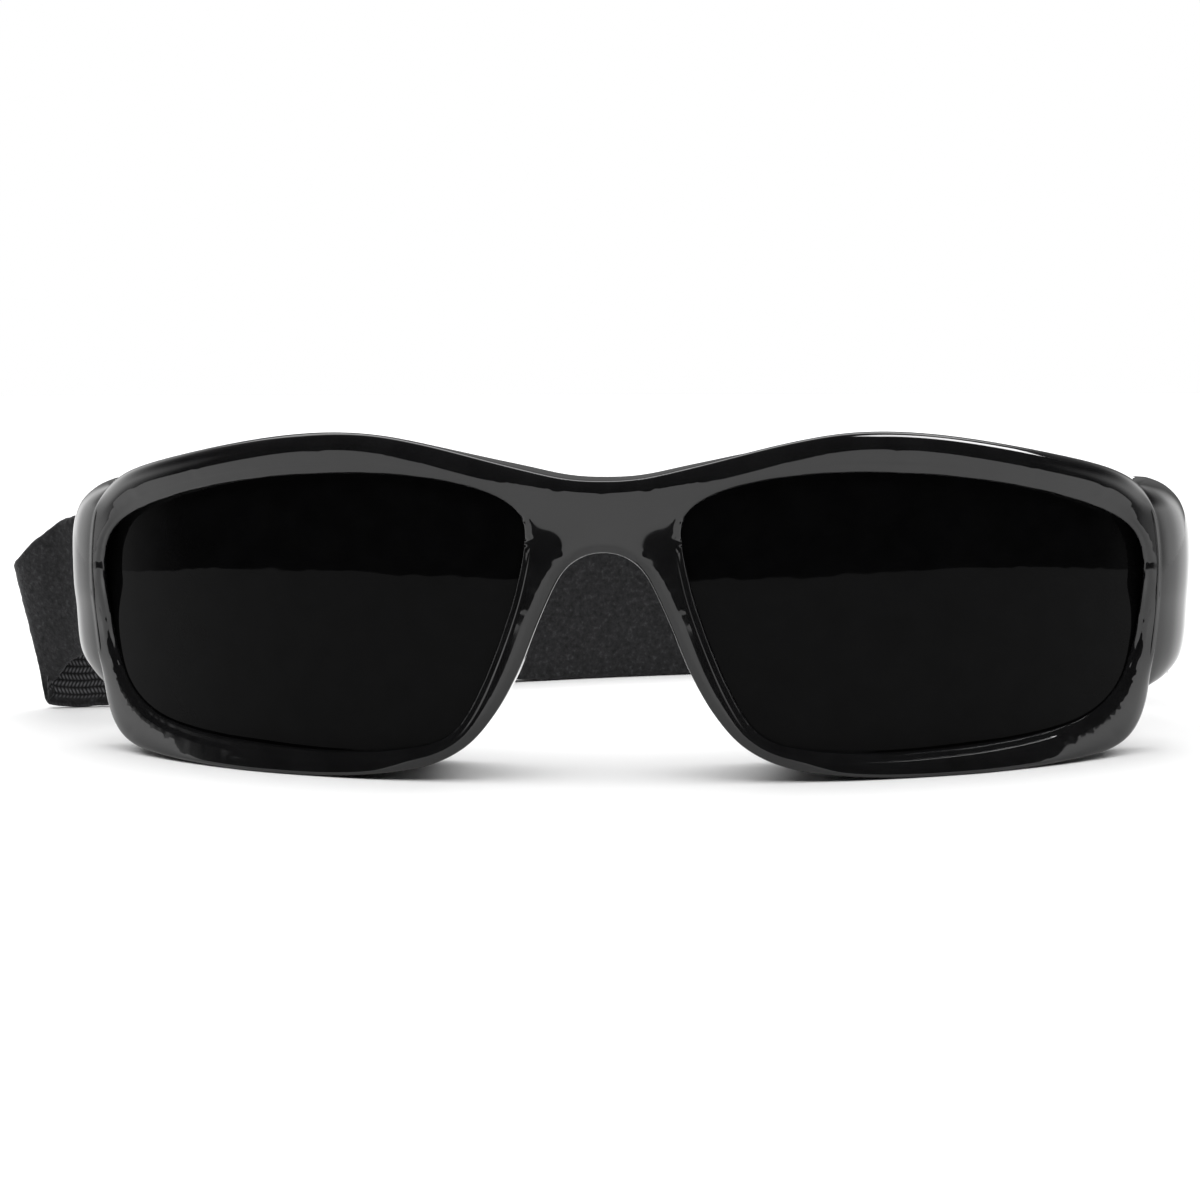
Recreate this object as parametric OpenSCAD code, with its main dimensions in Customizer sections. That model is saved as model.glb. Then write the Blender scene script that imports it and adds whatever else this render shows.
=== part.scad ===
// Welding goggles: a wraparound frame with two dark filter lenses, foam face
// seals and an elastic head strap on two hinged strap arms.
// Frame of the model: X runs along the face to the viewer's right, Y runs from
// the front of the goggles to the back of the head, and Z is up. The origin is
// on the plane that the goggles stand on, under the front of the bridge.

/* [Frame] */
// Radius of the frame's front face, seen from above
wrap_r = 100; // [90:1:120]
// Thickness of the frame from its front face to its back face
frame_t = 8; // [7:0.5:9]
// How far the outer face of a lens lies behind the frame's front face
lens_inset = 2; // [1.5:0.1:2.5]
// Thickness of a lens
lens_t = 2; // [1.8:0.1:2.4]
// How far a lens reaches into its groove
groove_d = 1.2; // [0.8:0.1:1.4]

/* [Face seal] */
// Thickness of the rigid carrier behind each lens
carrier_t = 2.2; // [1.8:0.1:2.6]
// Thickness of the foam pad
foam_t = 9; // [6:0.5:10]

/* [Hinges] */
// Radius of a hinge knuckle
knuckle_r = 2.8; // [2.6:0.1:3]
// Radius of a hinge screw's shank
screw_r = 1; // [0.8:0.1:1.2]
// Radial clearance between a shank and the knuckle that turns on it
run_gap = 0.05; // [0.03:0.01:0.08]

/* [Strap] */
// Width of the elastic
strap_w = 20; // [19:0.5:20]
// Thickness of the elastic
strap_t = 1.6; // [1.2:0.1:1.8]
// Height of the strap slot in an arm and in the tri-glide
slot_h = 20.8; // [20.6:0.1:21]

/* [Hidden] */
eps = 0.01;
part_gap = 0.15;

// Shared functions ------------------------------------------------------

// A point on a Catmull-Rom curve between b and c
function blend4(a, b, c, d, t) =
    0.5 * (2 * b + (c - a) * t + (2 * a - 5 * b + 4 * c - d) * t * t
           + (3 * b - a - 3 * c + d) * t * t * t);

// A smooth closed curve through pts, with n steps between neighbours
function closed_curve(pts, n) =
    let (m = len(pts))
    [for (i = [0 : m - 1], k = [0 : n - 1])
        blend4(pts[(i + m - 1) % m], pts[i], pts[(i + 1) % m], pts[(i + 2) % m], k / n)];

// A smooth open curve through pts, with n steps between neighbours
function open_curve(pts, n) =
    let (m = len(pts) - 1)
    [for (i = [0 : m - 1], k = [0 : (i == m - 1 ? n : n - 1)])
        blend4(pts[max(i - 1, 0)], pts[i], pts[i + 1], pts[min(i + 2, m)], k / n)];

function unit(v) = v / norm(v);

// Each point of a closed plane curve moved outwards by d
function grown(pts, d) =
    let (m = len(pts))
    [for (i = [0 : m - 1])
        let (t = unit(pts[(i + 1) % m] - pts[(i + m - 1) % m]))
        pts[i] + d * [-t[1], t[0]]];

function mirrored(pts) = [for (i = [len(pts) - 1 : -1 : 0]) [-pts[i][0], pts[i][1]]];

// Outlines in the front view, for the right half of the goggles ---------

// From the top of the nose arch, round the rim and back to the bridge's top
half_outline = [[0, 29.9], [2.8, 29.3], [5.5, 27], [8.4, 21], [11.1, 14.4], [14.4, 8.6],
                [18.6, 4.2], [25, 1.5], [36, 0.2], [50, 0], [62, 0.6], [67.2, 1.9],
                [69.8, 5.4], [71.1, 12], [72, 20], [72, 28], [70.6, 34], [66, 38.2],
                [55, 41.7], [43, 44.2], [33, 44.9], [24, 43.8], [12, 41], [5, 39.5],
                [0, 39.2]];
// Clockwise from the inner top corner of the lens opening
opening_points = [[10.1, 33.4], [12.8, 36.6], [18.5, 38.6], [26, 39.6], [34, 39.7],
                  [44.5, 38.8], [55.3, 36.6], [64, 33.4], [68.3, 30.2], [69.7, 26],
                  [69.4, 21], [68.4, 15.2], [66.4, 9.7], [62.2, 6], [55, 4.2],
                  [45, 3.4], [35, 3.2], [26, 4.1], [20.3, 6], [16.8, 10.7],
                  [13.3, 18.9], [11, 26.4]];
curve_steps = 3;
opening = closed_curve(opening_points, curve_steps);
half_rim = open_curve(half_outline, curve_steps);
outline = concat(half_rim, mirrored([for (i = [1 : len(half_rim) - 2]) half_rim[i]]));

// The wall of the wrap: everything between two radii about the wrap's axis
module wrap_shell(r_out, r_in) {
    translate([0, wrap_r, 0])
        difference() {
            translate([0, 0, -5]) cylinder(r = r_out, h = 60, $fn = 180);
            translate([0, 0, -6]) cylinder(r = r_in, h = 62, $fn = 180);
        }
}

// A front-view shape carried straight back through the wrap
module through(pts) {
    translate([0, wrap_r / 2, 0]) rotate([90, 0, 0])
        linear_extrude(wrap_r / 2 + 5) polygon(pts);
}

module on_side(side) {
    mirror([side < 0 ? 1 : 0, 0, 0]) children();
}

// Hinges ----------------------------------------------------------------
hinge_x = 72.4;
hinge_y = 47;
arm_z = 20;
knuckle_gap = 0.15;
mid_knuckle = [17.4, 24.6];
low_knuckle_z = 12.6;
top_knuckle_z = 29.4;
insert_r = 1.7;
insert_h = 3.6;
head_r = 1.9;
head_h = 1.4;

module frame_hinge_bores() {
    translate([hinge_x, hinge_y, low_knuckle_z - 1])
        cylinder(r = insert_r, h = insert_h + 1, $fn = 48);
    translate([hinge_x, hinge_y, low_knuckle_z])
        cylinder(r = screw_r, h = top_knuckle_z - low_knuckle_z, $fn = 48);
    translate([hinge_x, hinge_y, top_knuckle_z - head_h])
        cylinder(r = head_r, h = head_h + 1, $fn = 48);
}

// The cheek that runs back from the rim to the hinge, from above and from the front
cheek_plan = [[68.6, 30.5], [71, 29.5], [72.3, 31], [74.3, 35], [75.7, 39.6], [76.3, 43.2],
              [75.7, 44.2], [69.6, 44.2], [67.6, 37]];
cheek_face = [[66, 9.4], [72.6, 9.9], [75, 13.4], [76, 20], [76.3, 27.5], [75.9, 31.8],
              [73.8, 35.2], [70.4, 37.2], [66, 38]];

module cheek() {
    intersection() {
        linear_extrude(50) polygon(cheek_plan);
        through(closed_curve(cheek_face, 3));
    }
    // Upper and lower knuckles
    for (z = [[low_knuckle_z, mid_knuckle[0] - knuckle_gap],
              [mid_knuckle[1] + knuckle_gap, top_knuckle_z]]) {
        translate([hinge_x, hinge_y, z[0]])
            cylinder(r = knuckle_r, h = z[1] - z[0], $fn = 48);
        translate([hinge_x - knuckle_r, hinge_y - 3.4, z[0]])
            cube([2 * knuckle_r, 3.4, z[1] - z[0]]);
    }
}

module frame_front() {
    color([0.02, 0.02, 0.022])
    difference() {
        union() {
            intersection() {
                through(outline);
                wrap_shell(wrap_r, wrap_r - frame_t);
            }
            for (side = [-1, 1]) on_side(side) cheek();
        }
        for (side = [-1, 1]) on_side(side) {
            // Sight opening, lens groove and hinge bores
            through(opening);
            intersection() {
                through(grown(opening, groove_d));
                wrap_shell(wrap_r - lens_inset + part_gap,
                           wrap_r - lens_inset - lens_t - part_gap);
            }
            frame_hinge_bores();
        }
    }
}

module lens() {
    intersection() {
        through(grown(opening, groove_d - part_gap));
        wrap_shell(wrap_r - lens_inset, wrap_r - lens_inset - lens_t);
    }
}
module lens_left() { color([0.01, 0.01, 0.012, 0.96]) on_side(-1) lens(); }
module lens_right() { color([0.01, 0.01, 0.012, 0.96]) on_side(1) lens(); }

// Rings that follow the wrap behind a lens ------------------------------

// The front-view point p taken in to radius r along the wrap's radius
function wrapped(p, r) =
    let (a = asin(p[0] / wrap_r))
    [r * sin(a), wrap_r - r * cos(a), p[1]];

// A closed ring with one rectangular loop of corners for each point of the opening
module wrap_ring(corners) {
    m = len(corners);
    edges = [for (c = corners) grown(closed_curve(opening_points, 2), c[0])];
    n = len(edges[0]);
    pts = [for (i = [0 : n - 1], k = [0 : m - 1]) wrapped(edges[k][i], corners[k][1])];
    faces = [for (i = [0 : n - 1], k = [0 : m - 1])
        let (j = (i + 1) % n, l = (k + 1) % m)
        [i * m + k, i * m + l, j * m + l, j * m + k]];
    polyhedron(points = pts, faces = faces, convexity = 6);
}

carrier_front = wrap_r - frame_t - part_gap;
carrier_back = carrier_front - carrier_t;
lip_front = wrap_r - lens_inset - lens_t - 0.4;
flange_w = 2.2;
lip_out = -1.4;
lip_in = -2.6;

module carrier() {
    wrap_ring([[lip_in, lip_front], [lip_out, lip_front], [lip_out, carrier_front],
               [flange_w, carrier_front], [flange_w, carrier_back], [lip_in, carrier_back]]);
}
module carrier_left() { color([0.06, 0.06, 0.065]) on_side(-1) carrier(); }
module carrier_right() { color([0.06, 0.06, 0.065]) on_side(1) carrier(); }

foam_front = carrier_back - 0.05;
module foam_pad() {
    wrap_ring([[-3.4, foam_front], [2, foam_front], [2.4, foam_front - foam_t / 2],
               [0.8, foam_front - foam_t], [-2.6, foam_front - foam_t],
               [-4, foam_front - foam_t / 2]]);
}
module foam_left() { color([0.11, 0.11, 0.12]) on_side(-1) foam_pad(); }
module foam_right() { color([0.11, 0.11, 0.12]) on_side(1) foam_pad(); }

// Hinge hardware --------------------------------------------------------
module hinge_insert() {
    translate([hinge_x, hinge_y, low_knuckle_z])
        difference() {
            cylinder(r = insert_r, h = insert_h, $fn = 48);
            translate([0, 0, -1]) cylinder(r = screw_r, h = insert_h + 2, $fn = 48);
        }
}
module hinge_insert_left() { color([0.72, 0.56, 0.28]) on_side(-1) hinge_insert(); }
module hinge_insert_right() { color([0.72, 0.56, 0.28]) on_side(1) hinge_insert(); }

module hinge_screw() {
    translate([hinge_x, hinge_y, low_knuckle_z + 0.2])
        cylinder(r = screw_r, h = top_knuckle_z - low_knuckle_z - 0.2 - head_h + eps, $fn = 48);
    translate([hinge_x, hinge_y, top_knuckle_z - head_h])
        difference() {
            cylinder(r = head_r, h = head_h, $fn = 48);
            // Screwdriver slot
            translate([-0.3, -head_r - 1, head_h - 0.6]) cube([0.6, 2 * head_r + 2, 1]);
        }
}
module hinge_screw_left() { color([0.45, 0.45, 0.47]) on_side(-1) hinge_screw(); }
module hinge_screw_right() { color([0.45, 0.45, 0.47]) on_side(1) hinge_screw(); }

// Strap arms ------------------------------------------------------------
arm_t = 3;
arm_rail = 1.6;
arm_front_y = 50.4;
slot_y = [52, 56];
arm_back_y = 59;
arm_h = slot_h + 2 * arm_rail;
arm_r = 2.2;

// A plate in the YZ plane with rounded corners
module rounded_plate(y, z, r, t) {
    rotate([90, 0, 90]) linear_extrude(t)
        union() {
            translate([y[0] + r, z[0]]) square([y[1] - y[0] - 2 * r, z[1] - z[0]]);
            translate([y[0], z[0] + r]) square([y[1] - y[0], z[1] - z[0] - 2 * r]);
            for (a = [y[0] + r, y[1] - r], b = [z[0] + r, z[1] - r])
                translate([a, b]) circle(r = r, $fn = 32);
        }
}

module strap_arm() {
    z = [arm_z - arm_h / 2, arm_z + arm_h / 2];
    difference() {
        union() {
            translate([hinge_x - arm_t / 2, 0, 0])
                rounded_plate([arm_front_y, arm_back_y], z, arm_r, arm_t);
            translate([hinge_x, hinge_y, mid_knuckle[0]])
                cylinder(r = knuckle_r, h = mid_knuckle[1] - mid_knuckle[0], $fn = 48);
            translate([hinge_x - arm_t / 2, hinge_y, mid_knuckle[0]])
                cube([arm_t, arm_front_y - hinge_y + 0.5, mid_knuckle[1] - mid_knuckle[0]]);
        }
        translate([hinge_x - arm_t, slot_y[0], arm_z - slot_h / 2])
            cube([2 * arm_t, slot_y[1] - slot_y[0], slot_h]);
        translate([hinge_x, hinge_y, mid_knuckle[0] - 1])
            cylinder(r = screw_r + run_gap, h = mid_knuckle[1] - mid_knuckle[0] + 2, $fn = 48);
    }
}
module strap_arm_left() { color([0.03, 0.03, 0.033]) on_side(-1) strap_arm(); }
module strap_arm_right() { color([0.03, 0.03, 0.033]) on_side(1) strap_arm(); }

// Strap -----------------------------------------------------------------
// Each route point is [x, y, height of the strap's centre line, outward lean in degrees].
lie = arm_t / 2 + part_gap + strap_t / 2;
near_x = hinge_x + lie;
inner_x = hinge_x - lie;
glide_dir = 27;
glide_from = [-64, 82];
glide_len = 36;
glide_to = glide_from + glide_len * [cos(glide_dir), sin(glide_dir)];
glide_z = 12.5;
layer_gap = 0.3;

tab_route = [[-near_x, 58, arm_z, 0], [-near_x - 0.9, 61.2, 20.2, 4],
             [-79, 64.4, 19, 9], [-81.8, 66.6, 17.9, 11.5]];
fold_route = [[-82.8, 67.4, 16.9, 12], [-86.2, 69.2, 14, 14], [-88.3, 71.1, 11.8, 13],
              [-87.2, 72.7, 10.7, 10], [-83.9, 72.9, 10.1, 5], [-79.5, 73.4, 10.15, 1.5],
              [-74, 75.4, 10.6, 0],
              [glide_from[0], glide_from[1], glide_z, 0],
              [glide_to[0], glide_to[1], glide_z, 0]];
back_route = [[glide_to[0], glide_to[1], glide_z, 0], [-22, 103.4, 10.8, 0],
              [-10, 108.6, 10.3, 0], [3.6, 113.2, 10.2, 0], [14, 116, 10.2, 0],
              [28, 117.6, 10.2, 0], [44, 115, 10.2, 0], [56.5, 106, 10.2, 0],
              [63.6, 93.5, 11.4, 0], [68, 81.6, 14.6, 0], [72, 71.8, 18.4, 0]];
loop_route = [[73.2, 70.4, 18.8, 0], [75, 64, 20.3, 0], [near_x, 59, arm_z, 0]];

// The outward side of a route that runs from the left arm round the back
function outward(a, b) =
    let (t = unit([b[0] - a[0], b[1] - a[1]])) [-t[1], t[0]];

function outward_at(route, i) =
    outward(route[max(i - 1, 0)], route[min(i + 1, len(route) - 1)]);

// A route moved inwards (towards the head) by d
function inside(route, d) =
    [for (i = [0 : len(route) - 1])
        let (o = outward_at(route, i), p = route[i])
        [p[0] - d * o[0], p[1] - d * o[1], p[2], p[3]]];

// A flat strap swept along a route; each ring has four corners
module swept(route, w = strap_w, t = strap_t) {
    n = len(route);
    pts = [for (i = [0 : n - 1], c = [[1, 1], [1, -1], [-1, -1], [-1, 1]])
        let (o = outward_at(route, i), lean = route[i][3],
             up = [o[0] * sin(lean), o[1] * sin(lean), cos(lean)],
             out = [o[0] * cos(lean), o[1] * cos(lean), -sin(lean)])
        [route[i][0], route[i][1], route[i][2]] + c[0] * t / 2 * out + c[1] * w / 2 * up];
    sides = [for (i = [0 : n - 2], k = [0 : 3])
        let (l = (k + 1) % 4)
        [i * 4 + k, (i + 1) * 4 + k, (i + 1) * 4 + l, i * 4 + l]];
    ends = [[0, 1, 2, 3], [for (k = [3 : -1 : 0]) (n - 1) * 4 + k]];
    polyhedron(points = pts, faces = concat(sides, ends), convexity = 8);
}

// Half a turn through the slot and round the front of an arm's rear bar
function bar_turn(from_x, to_x) =
    [for (a = [0 : 30 : 180])
        [(from_x + to_x) / 2 + (from_x - to_x) / 2 * cos(a), slot_y[1] - 0.2 - 1.6 * sin(a),
         arm_z, 0]];

strap_color = [0.12, 0.12, 0.125];

// The tail of the tab, sewn to the inner face of its outer layer
tail_route = [[-78.6, 66.4, 18.6, -9.5], [-77, 65, 19.1, -8], [-74.3, 63.1, 20.1, -5],
              [-71.3, 61.3, arm_z, 0], [-inner_x, 59.2, arm_z, 0], [-inner_x, 57.6, arm_z, 0]];
seam_at = [-76.6, 64.7, 19.25];
seam_turn = -37;
seam_lean = 7.5;
thread_t = 0.35;

module strap_tab_left() {
    // Sewn tail inside the bar, the turn through the slot, then the outer layer
    turn = bar_turn(-inner_x, -near_x);
    color(strap_color)
        swept(concat(open_curve(tail_route, 3), turn, open_curve(tab_route, 3)));
}

module tab_stitch() {
    // A row of thread across the sewn tail's inner face
    color([0.2, 0.2, 0.21])
        translate(seam_at) rotate([0, 0, seam_turn]) rotate([seam_lean, 0, 0])
            for (k = [-7 : 2 : 7])
                translate([-0.9, strap_t / 2 + part_gap, k - 0.3]) cube([1.8, thread_t, 0.6]);
}

module strap_main() {
    color(strap_color)
        swept(concat(open_curve(fold_route, 6), open_curve(back_route, 5)));
}

module strap_loop_right() {
    inner = [[inner_x, 58, arm_z, 0], [inner_x - 0.4, 64, 20.3, 0], [69.6, 69.6, 18.8, 0]];
    turn = bar_turn(near_x, inner_x);
    color(strap_color)
        swept(concat(open_curve(loop_route, 3), turn, open_curve(inner, 3)));
}

module strap_return() {
    color(strap_color)
        swept(inside(open_curve(back_route, 5), strap_t + layer_gap));
}

// Tri-glide: an adjuster whose centre bar carries the strap's sewn end --
glide_at = glide_from + 16.5 * [cos(glide_dir), sin(glide_dir)];
glide_w = 13;
glide_rail = 2;
glide_bar = 2.2;
glide_t = 1.6;
glide_h = slot_h + 2 * glide_rail;
// Depths from the middle of the strap: plus is away from the head
outer_bar_y = strap_t / 2 + part_gap;
return_y = -strap_t - layer_gap;
centre_bar_y = return_y - strap_t / 2 - part_gap - glide_t;
tail_y = centre_bar_y - part_gap - strap_t / 2;
sewn_y = return_y - strap_t - 0.12;

module in_glide() {
    translate([glide_at[0], glide_at[1], glide_z]) rotate([0, 0, glide_dir]) children();
}

module tri_glide() {
    color([0.03, 0.03, 0.033]) in_glide() {
        // Two outer bars behind the strap, the centre bar in front of it
        for (s = [-1, 1])
            translate([s * (glide_w - glide_bar) / 2 - glide_bar / 2, outer_bar_y, -glide_h / 2])
                cube([glide_bar, glide_t, glide_h]);
        translate([-glide_bar / 2, centre_bar_y, -glide_h / 2])
            cube([glide_bar, glide_t, glide_h]);
        // Rails above and below the strap
        for (s = [-1, 1])
            translate([-glide_w / 2, centre_bar_y, s > 0 ? slot_h / 2 : -glide_h / 2])
                cube([glide_w, outer_bar_y + glide_t - centre_bar_y, glide_rail]);
    }
}

// The strap's last stretch: behind the centre bar, round it and back to the seam
module strap_end_loop() {
    turn_x = -glide_bar / 2 - part_gap - strap_t / 2;
    half = (return_y - tail_y) / 2;
    layer = open_curve([[9.5, return_y, 0, 0], [4, return_y, 0, 0], [0, return_y, 0, 0]], 2);
    turn = [for (a = [0 : 45 : 180])
        [turn_x + 0.8 - half * sin(a), return_y - half + half * cos(a), 0, 0]];
    tail = open_curve([[0.6, tail_y, 0, 0], [3, tail_y + 0.7, 0, 0], [5, sewn_y, 0, 0],
                       [9, sewn_y, 0, 0]], 2);
    color(strap_color) in_glide() swept(concat(layer, turn, tail));
}

module end_stitch() {
    // Two rows of thread across the sewn tail
    color([0.2, 0.2, 0.21]) in_glide()
        for (x = [6, 8], k = [-8 : 2 : 8])
            translate([x - 0.3, sewn_y - strap_t / 2 - 0.3, k - 0.6]) cube([0.6, 0.3, 1.2]);
}

frame_front();
lens_left();
lens_right();
carrier_left();
carrier_right();
foam_left();
foam_right();
hinge_insert_left();
hinge_insert_right();
hinge_screw_left();
hinge_screw_right();
strap_arm_left();
strap_arm_right();
strap_tab_left();
tab_stitch();
strap_main();
strap_loop_right();
strap_return();
strap_end_loop();
end_stitch();
tri_glide();
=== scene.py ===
"""Welding goggles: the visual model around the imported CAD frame.

Lengths in this file are millimetres in the frame's own axes (X along the face, Y back
towards the head, Z up) and are turned into metres when a mesh is made."""
import math

import bmesh
import bpy
import numpy as np
from mathutils import Matrix, Vector
from mathutils.geometry import delaunay_2d_cdt
from mathutils.kdtree import KDTree

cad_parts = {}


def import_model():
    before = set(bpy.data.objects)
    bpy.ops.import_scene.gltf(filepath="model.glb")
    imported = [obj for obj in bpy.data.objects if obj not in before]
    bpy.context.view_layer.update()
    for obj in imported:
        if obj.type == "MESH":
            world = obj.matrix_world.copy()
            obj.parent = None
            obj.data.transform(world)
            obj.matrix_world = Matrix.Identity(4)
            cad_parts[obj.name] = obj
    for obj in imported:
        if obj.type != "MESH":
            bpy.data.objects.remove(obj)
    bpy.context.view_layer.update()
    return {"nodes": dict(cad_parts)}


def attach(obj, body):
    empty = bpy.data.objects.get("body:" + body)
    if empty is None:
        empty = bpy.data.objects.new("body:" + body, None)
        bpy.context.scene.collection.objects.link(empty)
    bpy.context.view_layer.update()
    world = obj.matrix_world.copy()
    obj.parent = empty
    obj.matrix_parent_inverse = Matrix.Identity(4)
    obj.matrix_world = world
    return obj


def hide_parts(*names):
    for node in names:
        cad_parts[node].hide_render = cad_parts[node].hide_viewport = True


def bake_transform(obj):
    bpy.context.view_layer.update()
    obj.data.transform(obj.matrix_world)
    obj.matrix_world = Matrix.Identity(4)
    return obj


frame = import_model()
MM = 0.001
rng = np.random.RandomState(7)

# ---------------------------------------------------------------- camera
CAM_DISTANCE = 620.0
CAM_AZIMUTH = 4.65
CAM_ELEVATION = 6.5
CAM_ROLL = 0.0079
CAM_TARGET = (-0.3, 0.0, 24.0)
VIEW_WIDTH = 153.6


def make_camera():
    a = math.radians(CAM_AZIMUTH)
    e = math.radians(CAM_ELEVATION)
    away = Vector((math.sin(a) * math.cos(e), -math.cos(a) * math.cos(e), math.sin(e)))
    right = Vector((math.cos(a), math.sin(a), 0))
    up = away.cross(right)
    place = (Vector(CAM_TARGET) + CAM_DISTANCE * away) * MM
    turn = Matrix((right, up, away)).transposed() @ Matrix.Rotation(-CAM_ROLL, 3, "Z")
    data = bpy.data.cameras.new("camera")
    data.sensor_fit = "HORIZONTAL"
    data.angle = 2 * math.atan(VIEW_WIDTH / 2 / CAM_DISTANCE)
    data.clip_start = 0.01
    data.clip_end = 50
    cam = bpy.data.objects.new("camera", data)
    bpy.context.scene.collection.objects.link(cam)
    cam.matrix_world = Matrix.Translation(place) @ turn.to_4x4()
    bpy.context.scene.camera = cam


make_camera()


# ---------------------------------------------------------------- curves
def catmull(points, steps, closed):
    """A Catmull-Rom curve through points (any number of columns)."""
    p = np.asarray(points, float)
    n = len(p)
    spans = n if closed else n - 1
    t = np.arange(steps)[:, None] / steps
    out = []
    for i in range(spans):
        if closed:
            a, b, c, d = (p[(i + k) % n] for k in (-1, 0, 1, 2))
        else:
            a, b, c, d = (p[min(max(i + k, 0), n - 1)] for k in (-1, 0, 1, 2))
        out.append(0.5 * (2 * b + (c - a) * t + (2 * a - 5 * b + 4 * c - d) * t * t
                          + (3 * b - a - 3 * c + d) * t ** 3))
    if not closed:
        out.append(p[-1:])
    return np.vstack(out)


def resample(curve, spacing, closed, key=2):
    """Even spacing along a polyline; the first key columns are its position."""
    c = np.vstack([curve, curve[:1]]) if closed else curve
    run = np.concatenate([[0], np.cumsum(np.linalg.norm(np.diff(c[:, :key], axis=0), axis=1))])
    n = max(int(round(run[-1] / spacing)), 2)
    at = np.linspace(0, run[-1], n + 1)
    if closed:
        at = at[:-1]
    return np.stack([np.interp(at, run, c[:, k]) for k in range(c.shape[1])], 1)


def fair(curve, rounds):
    """Evens out the curvature of a closed curve."""
    for _ in range(rounds):
        curve = 0.5 * curve + 0.25 * (np.roll(curve, 1, 0) + np.roll(curve, -1, 0))
    return curve


def left_normals(curve):
    """Unit normals on the left of a closed plane curve."""
    t = np.roll(curve, -1, 0) - np.roll(curve, 1, 0)
    t /= np.linalg.norm(t, axis=1)[:, None]
    return np.stack([-t[:, 1], t[:, 0]], 1)


def smooth_step(x, a, b):
    t = np.clip((x - a) / (b - a), 0, 1)
    return t * t * (3 - 2 * t)


def nearest(points, curve, closed=True):
    """Distance from each point to a polyline, and its place along it in segments."""
    a = curve
    b = np.roll(curve, -1, 0) if closed else curve[1:]
    a = a if closed else a[:-1]
    ab = b - a
    sq = (ab ** 2).sum(1)
    far, place = np.empty(len(points)), np.empty(len(points))
    for k in range(0, len(points), 2000):
        p = points[k:k + 2000, None, :]
        t = np.clip(((p - a) * ab).sum(2) / sq, 0, 1)
        d = ((p - a - t[..., None] * ab) ** 2).sum(2)
        best = d.argmin(1)
        rows = np.arange(len(best))
        place[k:k + 2000] = best + t[rows, best]
        far[k:k + 2000] = np.sqrt(d[rows, best])
    return far, place


def at_place(values, place):
    """Values along a closed polyline at the places that nearest gives."""
    low = np.floor(place).astype(int)
    share = place - low
    if values.ndim > 1:
        share = share[:, None]
    n = len(values)
    return values[low % n] * (1 - share) + values[(low + 1) % n] * share


def inside(points, curve):
    """Whether each point is inside a closed polyline."""
    a, b = curve, np.roll(curve, -1, 0)
    out = np.empty(len(points), bool)
    for k in range(0, len(points), 4000):
        x, z = points[k:k + 4000, 0, None], points[k:k + 4000, 1, None]
        cross = (a[:, 1] > z) != (b[:, 1] > z)
        with np.errstate(divide="ignore", invalid="ignore"):
            at = a[:, 0] + (z - a[:, 1]) * (b[:, 0] - a[:, 0]) / (b[:, 1] - a[:, 1])
        out[k:k + 4000] = (cross & (x < at)).sum(1) % 2 == 1
    return out


# ---------------------------------------------------------------- meshes
def make_object(name, verts, faces, material, sharp=35, flat=False):
    """A piece from millimetre vertices; edges sharper than sharp degrees stay crisp."""
    mesh = bpy.data.meshes.new(name)
    mesh.from_pydata([tuple(v) for v in np.asarray(verts, float) * MM], [], faces)
    mesh.validate()
    bm = bmesh.new()
    bm.from_mesh(mesh)
    bmesh.ops.recalc_face_normals(bm, faces=bm.faces)
    bm.to_mesh(mesh)
    bm.free()
    if not flat:
        mesh.polygons.foreach_set("use_smooth", [True] * len(mesh.polygons))
        if sharp:
            mesh.set_sharp_from_angle(angle=math.radians(sharp))
    mesh.materials.append(material)
    obj = bpy.data.objects.new(name, mesh)
    bpy.context.scene.collection.objects.link(obj)
    return obj


class Shell:
    """Vertices and faces collected from several patches."""

    def __init__(self):
        self.verts, self.faces = [], []

    def add(self, points):
        """Adds the points and returns their numbers."""
        start = len(self.verts)
        self.verts.extend(tuple(p) for p in points)
        return list(range(start, len(self.verts)))

    def bridge(self, a, b):
        """Joins two closed rings of vertices."""
        n = len(a)
        for i in range(n):
            j = (i + 1) % n
            self.faces.append((a[i], a[j], b[j], b[i]))

    def loft(self, rings):
        """A solid through closed rings, with its two ends capped."""
        ids = [self.add(r) for r in rings]
        for a, b in zip(ids, ids[1:]):
            self.bridge(a, b)
        self.faces.append(tuple(ids[0]))
        self.faces.append(tuple(reversed(ids[-1])))


# ---------------------------------------------------------------- materials
def add_node(tree, kind, x, y, **values):
    """A node at (x, y) of the tree; values are its properties or its sockets' defaults."""
    node = tree.nodes.new(kind)
    node.location = (x, y)
    for key, value in values.items():
        if hasattr(node, key):
            setattr(node, key, value)
        else:
            node.inputs[key.replace("_", " ")].default_value = value
    return node


def shader(name, base, roughness, **sockets):
    """A Principled material with its uniform values set on its own sockets."""
    mat = bpy.data.materials.new(name)
    mat.use_nodes = True
    tree = mat.node_tree
    bsdf = tree.nodes["Principled BSDF"]
    bsdf.inputs["Base Color"].default_value = (*base, 1)
    bsdf.inputs["Roughness"].default_value = roughness
    for key, value in sockets.items():
        bsdf.inputs[key.replace("_", " ")].default_value = value
    return mat, tree, bsdf


def ramp(tree, source, stops, x, y):
    """Colours the source by stops of (place, colour)."""
    node = add_node(tree, "ShaderNodeValToRGB", x, y)
    bar = node.color_ramp.elements
    while len(bar) < len(stops):
        bar.new(0.5)
    for element, (at, color) in zip(bar, stops):
        element.position = at
        element.color = (*color, 1) if len(color) == 3 else color
    tree.links.new(source, node.inputs["Fac"])
    return node.outputs["Color"]


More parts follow.
